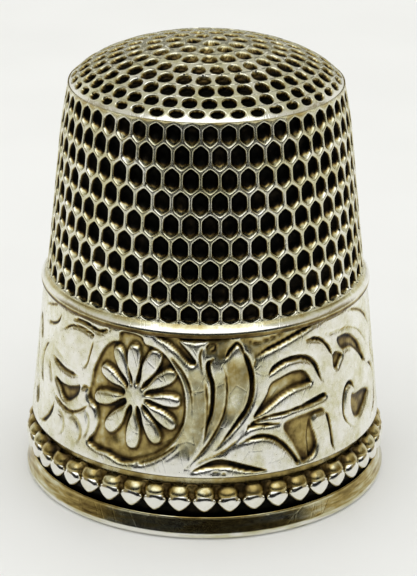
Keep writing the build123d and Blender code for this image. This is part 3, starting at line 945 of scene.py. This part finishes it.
def blur(field, reach):
    """A soft average of a field that runs right round."""
    out = field
    for axis, wrap in ((1, True), (0, False)):
        total = np.zeros_like(out)
        weights = 0.0
        for step in range(-reach, reach + 1):
            weight = math.exp(-((step / (reach / 2 + 0.5)) ** 2))
            if wrap:
                moved = np.roll(out, step, axis=axis)
            else:
                index = np.clip(np.arange(out.shape[0]) + step, 0, out.shape[0] - 1)
                moved = out[index]
            total += weight * moved
            weights += weight
        out = total / weights
    return out


def make_band(material):
    """The applied band, with the artwork cut into its outer face."""
    repeat = 2 * math.pi * BAND_MEAN_RADIUS / BAND_REPEATS
    columns = BAND_AROUND // BAND_REPEATS
    along = -repeat / 2 + np.arange(columns) * repeat / columns
    up = np.linspace(BAND_Z[0] - BAND_HEM, BAND_Z[1], BAND_ROWS)
    art = Carving(along, up)
    for carve in (carve_daisy, carve_ring_and_stem, carve_leaves, carve_great_scroll, carve_right_side,
                  carve_left_side):
        carve(art)
    depth = np.concatenate([art.depth] * BAND_REPEATS, axis=1)
    hollow = np.concatenate([art.hollow] * BAND_REPEATS, axis=1)
    depth = blur(depth, 1)
    crown = blur(depth, 4)
    edge = np.minimum(up - up[0], BAND_Z[1] - up)
    from_flat = 1 - np.clip(edge / EDGE_ROUND_UP, 0, 1)
    edge_round = EDGE_ROUND_IN * (1 - np.sqrt(np.clip(1 - from_flat ** 2, 0, 1)))
    soft = blur(depth, 7)
    film = np.concatenate([art.film] * BAND_REPEATS, axis=1)
    relief = CRISP_SHARE * depth + CROWN_SHARE * crown + SOFT_SHARE * soft
    sink = CARVE_DEPTH * relief + hollow + edge_round[:, None]
    turn = np.degrees(np.concatenate([along + i * repeat for i in range(BAND_REPEATS)]) / BAND_MEAN_RADIUS)
    radius = cone_radius(up[:, None]) + BAND_LIFT - sink
    cavity = np.clip(depth - blur(depth, 5), -1, 1)
    ground = smooth_step(depth, 0.15, 0.75) * (0.33 + 0.26 * (1 - smooth_step(crown, 0.45, 0.95)))
    dirt = np.clip(ground + 1.3 * np.clip(cavity, 0, 1), 0, 1)
    dirt = np.maximum(dirt, 0.05 + 0.05 * smooth_step(blur(soft, 12), 0.04, 0.45))
    dirt = np.maximum(dirt, film * (1 - smooth_step(depth, 0.3, 0.8)))
    dirt = np.maximum(dirt, 0.8 * (1 - smooth_step(edge, 0.0, 0.03))[:, None])
    shell = Shell()
    rows = shell.add(ring_points(turn[None, :] * np.ones_like(radius), radius, up[:, None]), dirt)
    shell.join_rows(rows)
    back = []
    for z in (BAND_Z[1], BAND_Z[0] - BAND_HEM):
        back.append(shell.add(ring_points(turn, seat_radius(z), z), 1.0))
    shell.join_rows(np.stack([rows[-1], back[0], back[1], rows[0]]))
    return shell.build("chased_band", material, "scroll_band")


# ---- Materials ----
class Nodes:
    """A short way to write a node tree."""

    def __init__(self, tree):
        self.tree = tree

    def new(self, kind, **values):
        node = self.tree.nodes.new(kind)
        for key, value in values.items():
            setattr(node, key, value)
        return node

    def link(self, source, target):
        self.tree.links.new(source, target)

    def centred(self, noise, amount):
        """A noise turned into an unevenness, up and down from nothing."""
        return self.maths("MULTIPLY", self.maths("SUBTRACT", noise, 0.5), amount)

    def maths(self, operation, first, second=None, clamp=False):
        node = self.new("ShaderNodeMath", operation=operation, use_clamp=clamp)
        for socket, value in zip(node.inputs, (first, second)):
            if value is None:
                continue
            if isinstance(value, (int, float)):
                socket.default_value = value
            else:
                self.link(value, socket)
        return node.outputs[0]

    def stretched(self, coordinates, scale, turn=(0, 0, 0)):
        mapping = self.new("ShaderNodeMapping")
        mapping.inputs["Rotation"].default_value = turn
        mapping.inputs["Scale"].default_value = scale
        self.link(coordinates, mapping.inputs["Vector"])
        return mapping.outputs["Vector"]

    def noise(self, coordinates, scale, detail):
        node = self.new("ShaderNodeTexNoise")
        node.inputs["Scale"].default_value = scale
        node.inputs["Detail"].default_value = detail
        node.inputs["Roughness"].default_value = 0.55
        self.link(coordinates, node.inputs["Vector"])
        return node.outputs["Fac"]

    def ramp(self, factor, stops):
        node = self.new("ShaderNodeValToRGB")
        band = node.color_ramp
        while len(band.elements) < len(stops):
            band.elements.new(0.5)
        for element, (place, colour) in zip(band.elements, stops):
            element.position = place
            element.color = (*colour, 1)
        self.link(factor, node.inputs["Fac"])
        return node.outputs["Color"]

    def window(self, value, low, high, soft):
        """1 between low and high, fading to 0 over a soft distance outside them."""
        up = self.mapped(value, low - soft, low, 0.0, 1.0)
        down = self.mapped(value, high, high + soft, 1.0, 0.0)
        return self.maths("MULTIPLY", up, down)

    def mix(self, factor, first, second):
        """A colour between two colours, each a tuple or a socket."""
        node = self.new("ShaderNodeMix", data_type="RGBA")
        self.link(factor, node.inputs["Factor"])
        for socket, value in ((node.inputs[6], first), (node.inputs[7], second)):
            if isinstance(value, tuple):
                socket.default_value = (*value, 1)
            else:
                self.link(value, socket)
        return node.outputs[2]

    def mapped(self, factor, low, high, out_low, out_high):
        node = self.new("ShaderNodeMapRange")
        self.link(factor, node.inputs["Value"])
        limits = {"From Min": low, "From Max": high, "To Min": out_low, "To Max": out_high}
        for name, value in limits.items():
            node.inputs[name].default_value = value
        return node.outputs["Result"]


# How many features of each kind of unevenness there are in a metre.
DENT_SCALE = 420.0
CLOUD_SCALE = 650.0
SPECK_SCALE = 2900.0
GRAIN_SCALE = 5200.0
# The metal's colour against its tarnish: silver, straw, brown, and black.
SILVER_STOPS = ((0.00, (0.885, 0.872, 0.805)), (0.15, (0.655, 0.63, 0.415)), (0.34, (0.43, 0.33, 0.115)),
                (0.60, (0.115, 0.074, 0.024)), (0.85, (0.014, 0.011, 0.007)), (1.00, (0.004, 0.004, 0.003)))


def scratches(nodes, place, scale, turn, width):
    """Thin crossing lines: a stretched cell pattern, read close to its borders."""
    cells = nodes.new("ShaderNodeTexVoronoi", feature="DISTANCE_TO_EDGE")
    cells.inputs["Scale"].default_value = scale
    nodes.link(nodes.stretched(place, (1.0, 0.05, 0.35), turn), cells.inputs["Vector"])
    return nodes.mapped(cells.outputs["Distance"], 0.0, width, 1.0, 0.0)


def silver(name, roughness, stain, scratch_depth, streak=1.0, dullest=0.46):
    """Old sterling silver: polished where it is handled, brown to black where it isn't, and bright where
    glints are painted in as low tarnish.
    Stain is how uneven the tarnish is, and streak how far it is drawn out sideways."""
    material = bpy.data.materials.new(name)
    material.use_nodes = True
    nodes = Nodes(material.node_tree)
    shader = material.node_tree.nodes["Principled BSDF"]
    shader.inputs["Metallic"].default_value = 1.0
    place = nodes.new("ShaderNodeTexCoord").outputs["Object"]
    tarnish_and_glint = nodes.new("ShaderNodeAttribute", attribute_name="tarnish_and_glint").outputs["Fac"]
    drawn = nodes.stretched(place, (1 / streak, 1 / streak, streak))
    cloud = nodes.noise(drawn, CLOUD_SCALE, 4.0)
    speck = nodes.noise(drawn, SPECK_SCALE, 3.0)
    uneven = nodes.maths("ADD", nodes.centred(cloud, 0.55), nodes.centred(speck, 0.30))
    weight = nodes.mapped(tarnish_and_glint, 0.0, 0.3, stain, stain + 0.9)
    total = nodes.maths("ADD", tarnish_and_glint, nodes.maths("MULTIPLY", uneven, weight), True)
    colour = nodes.ramp(total, SILVER_STOPS)
    nodes.link(colour, shader.inputs["Base Color"])
    fine = nodes.noise(place, GRAIN_SCALE, 2.0)
    dullness = nodes.mapped(total, 0.0, 0.8, roughness, dullest)
    rough = nodes.maths("ADD", dullness, nodes.centred(fine, 0.16), True)
    nodes.link(rough, shader.inputs["Roughness"])
    lines = scratches(nodes, place, 1500.0, (0.3, 0.5, 0.9), 0.035)
    cross = scratches(nodes, place, 1100.0, (1.1, 0.2, 2.2), 0.03)
    broad = nodes.noise(place, DENT_SCALE, 2.0)
    height = nodes.maths("SUBTRACT", nodes.maths("MULTIPLY", broad, 0.9),
                         nodes.maths("MULTIPLY", nodes.maths("MAXIMUM", lines, cross), 0.35))
    height = nodes.maths("ADD", height, nodes.maths("MULTIPLY", fine, 0.10))
    bump = nodes.new("ShaderNodeBump")
    bump.inputs["Strength"].default_value = scratch_depth
    bump.inputs["Distance"].default_value = 0.00002
    nodes.link(height, bump.inputs["Height"])
    nodes.link(bump.outputs["Normal"], shader.inputs["Normal"])
    return material


# ---- The setting: floor, surroundings and camera ----
FLOOR_HALF_WIDTH = 3.0       # in metres


def make_floor():
    """A wide pale sheet that the thimble stands on."""
    size = FLOOR_HALF_WIDTH
    corners = [(-size, -size, 0), (size, -size, 0), (size, size, 0), (-size, size, 0)]
    mesh = bpy.data.meshes.new("floor")
    mesh.from_pydata(corners, [], [(0, 1, 2, 3)])
    floor = bpy.data.objects.new("floor", mesh)
    bpy.context.scene.collection.objects.link(floor)
    material = bpy.data.materials.new("pale_sheet")
    material.use_nodes = True
    nodes = Nodes(material.node_tree)
    shader = material.node_tree.nodes["Principled BSDF"]
    place = nodes.new("ShaderNodeTexCoord").outputs["Object"]
    tint = nodes.noise(place, 60.0, 2.0)
    shades = ((0.3, (0.80, 0.80, 0.785)), (0.7, (0.83, 0.83, 0.815)))
    nodes.link(nodes.ramp(tint, shades), shader.inputs["Base Color"])
    shader.inputs["Roughness"].default_value = 0.35
    shader.inputs["Specular IOR Level"].default_value = 0.25
    mesh.materials.append(material)


# The mirrored sky's colour, from 10 degrees below the horizon to straight up.
SKY_STOPS = ((0.00, (0.74, 0.73, 0.66)), (0.35, (0.70, 0.69, 0.62)), (0.55, (0.62, 0.61, 0.54)),
             (0.80, (0.58, 0.57, 0.46)), (1.00, (0.55, 0.54, 0.43)))
# What else the metal mirrors: colour, then the turn from the front and the rise above
# the horizon, in degrees, each as a start, an end and how softly it fades.
SURROUNDINGS = (
    ((0.88, 0.88, 0.84), (118, 200, 14), (-20, 30, 10)),
    ((0.30, 0.29, 0.24), (160, 200, 14), (-20, 28, 8)),
    ((0.25, 0.205, 0.10), (56, 112, 12), (-4, 26, 8)),
    ((0.012, 0.012, 0.012), (-10, 60, 10), (-60, 28, 8)),
    ((1.70, 1.73, 1.80), (-10, 56, 8), (40, 70, 6)),
)
ROOM_LIGHT = (1.21, 1.215, 1.20)
BACKDROP = (0.865, 0.875, 0.86)


def make_world():
    """The surroundings. Diffuse light and the backdrop are even pale tones. What polished
    metal mirrors is set out round the thimble: a bright soft box high in front, the dark
    of the room low in front, warm dusk at both sides, and white behind, dimmer in the
    middle."""
    world = bpy.data.worlds.new("studio")
    bpy.context.scene.world = world
    world.use_nodes = True
    world.cycles.sampling_method = "NONE"
    nodes = Nodes(world.node_tree)
    background = world.node_tree.nodes["Background"]
    direction = nodes.new("ShaderNodeTexCoord").outputs["Generated"]
    parts = nodes.new("ShaderNodeSeparateXYZ")
    nodes.link(direction, parts.inputs["Vector"])
    forward = nodes.maths("MULTIPLY", parts.outputs["Y"], -1.0)
    turn = nodes.maths("ABSOLUTE", nodes.maths("ARCTAN2", parts.outputs["X"], forward))
    turn = nodes.maths("DEGREES", turn)
    rise = nodes.maths("DEGREES", nodes.maths("ARCSINE", parts.outputs["Z"]))
    colour = nodes.ramp(nodes.mapped(rise, -10.0, 90.0, 0.0, 1.0), SKY_STOPS)
    for tint, turns, rises in SURROUNDINGS:
        share = nodes.maths("MULTIPLY", nodes.window(turn, *turns), nodes.window(rise, *rises))
        colour = nodes.mix(share, colour, tint)
    path = nodes.new("ShaderNodeLightPath")
    lit = nodes.mix(path.outputs["Is Diffuse Ray"], colour, ROOM_LIGHT)
    lit = nodes.mix(path.outputs["Is Camera Ray"], lit, BACKDROP)
    nodes.link(lit, background.inputs["Color"])


def aim(direction, roll):
    """The rotation that points a camera along a direction."""
    turn = Vector(direction).to_track_quat("-Z", "Y").to_matrix() @ Matrix.Rotation(roll, 3, "Z")
    return turn.to_euler()


CAMERA_HEIGHT_ANGLE = 22.27
CAMERA_ROLL = 0.29
CAMERA_LENS = 145.9
CAMERA_SHIFT = 0.0053
CAMERA_UNIT = 9.0 * MM       # the foot's radius, by which the camera's place is measured
CAMERA_TARGET_UP = 1.0276
CAMERA_AWAY = 12.83


def make_camera():
    """The camera, at the photograph's angle, aimed at a point on the thimble's axis."""
    target = np.array([0, 0, CAMERA_TARGET_UP * CAMERA_UNIT])
    rise = math.radians(CAMERA_HEIGHT_ANGLE)
    back = np.array([0, -math.cos(rise), math.sin(rise)])
    data = bpy.data.cameras.new("camera")
    data.lens = CAMERA_LENS
    data.sensor_width = 36
    data.shift_x = CAMERA_SHIFT
    data.clip_start = 0.001
    camera = bpy.data.objects.new("camera", data)
    camera.location = target + back * CAMERA_AWAY * CAMERA_UNIT
    camera.rotation_euler = aim(-back, math.radians(CAMERA_ROLL))
    bpy.context.scene.collection.objects.link(camera)
    bpy.context.scene.camera = camera


def make_painted_dark_reflection():
    """Painted reflection: a dark sheet that lies on the floor in front and only shows in the metal, standing
    in for the unlit room in front.
    """
    edge = ((0.007, -0.040), (0.020, -0.058), (0.060, -0.085), (0.40, -0.13), (0.40, -0.6))
    outline = [(x, y, 0.0002) for x, y in edge] + [(-x, y, 0.0002) for x, y in reversed(edge)]
    mesh = bpy.data.meshes.new("dark_reflection_sheet")
    mesh.from_pydata(outline, [], [tuple(range(len(outline)))])
    reflection_sheet = bpy.data.objects.new("dark_reflection_sheet", mesh)
    bpy.context.scene.collection.objects.link(reflection_sheet)
    material = bpy.data.materials.new("painted_reflection_black")
    material.use_nodes = True
    shader = material.node_tree.nodes["Principled BSDF"]
    shader.inputs["Base Color"].default_value = (0.012, 0.012, 0.011, 1)
    shader.inputs["Roughness"].default_value = 0.9
    shader.inputs["Specular IOR Level"].default_value = 0.0
    mesh.materials.append(material)
    reflection_sheet.visible_camera = False
    reflection_sheet.visible_diffuse = False
    reflection_sheet.visible_shadow = False


def make_setting():
    """Everything that isn't the thimble."""
    bpy.context.scene.view_settings.view_transform = "Standard"
    make_floor()
    make_painted_dark_reflection()
    make_world()
    make_camera()


pitted = silver("pitted_silver", 0.20, 0.35, 0.5)
chased = silver("chased_silver", 0.24, 0.60, 0.9)
beaded = silver("beaded_silver", 0.15, 0.55, 0.3)
plain_silver = silver("plain_silver", 0.15, 0.5, 0.35)
worn_silver = silver("worn_silver", 0.11, 1.6, 0.22, 2.6, 0.20)
make_sleeve(pitted)
make_cap(pitted)
make_shoulder_wire(plain_silver)
make_band(chased)
make_beads(beaded)
make_foot(worn_silver)
make_setting()
